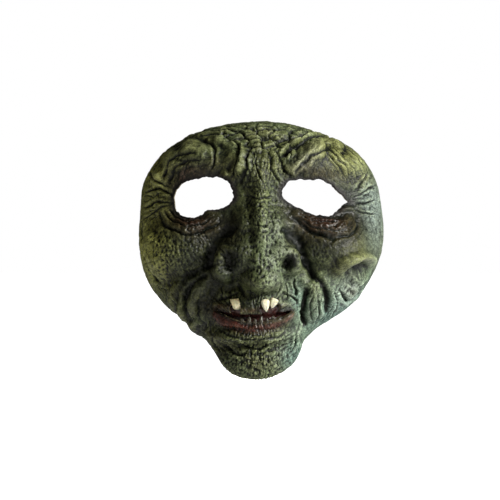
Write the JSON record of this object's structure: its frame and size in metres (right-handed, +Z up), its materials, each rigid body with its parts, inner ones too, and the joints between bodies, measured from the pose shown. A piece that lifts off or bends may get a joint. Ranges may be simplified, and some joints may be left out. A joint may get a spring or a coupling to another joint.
{
  "type": "latex halloween mask",
  "caption": "Full-face latex costume mask of a scowling, hook-nosed green goblin witch with open eye holes, snaggle teeth and a riveted elastic head strap.",
  "frame": {"origin": "on the wearer's face plane, midway between the two eye holes, where the bridge of the wearer's nose sits", "axes": "+Z up the face, -Y the way the face looks, +X towards the left side of the face (the viewer's right)"},
  "size_m": [0.1962, 0.1503, 0.206],
  "materials": {
    "latex": "painted latex, satin",
    "gum": "painted latex, satin",
    "tooth": "cast resin, gloss",
    "stub": "cast resin, gloss",
    "webbing": "woven",
    "patch": "latex-soaked gauze",
    "rivet": "nickel plate",
    "elastic": "woven elastic",
    "eyelet": "nickel plate"
  },
  "bodies": {
    "mask": {"face_skin": "latex", "gum_insert": "gum", "tooth_right": "tooth", "tooth_left_inner": "tooth", "tooth_left_outer": "tooth", "tooth_stubs": "stub", "anchor_tab_right": "webbing", "anchor_tab_left": "webbing", "bond_patch_right": "patch", "bond_patch_left": "patch", "rivet_right": "rivet", "rivet_left": "rivet", "rivet_cap_right": "rivet", "rivet_cap_left": "rivet"},
    "strap": {"strap_band": "elastic", "eyelet_right": "eyelet", "eyelet_left": "eyelet"}
  },
  "joints": [
    {"name": "strap_swing", "type": "hinge", "parent": "mask", "child": "strap", "pos_m": [0, 0.078, -0.02], "axis": [1, 0, 0], "range_deg": [-10, 180]}
  ]
}
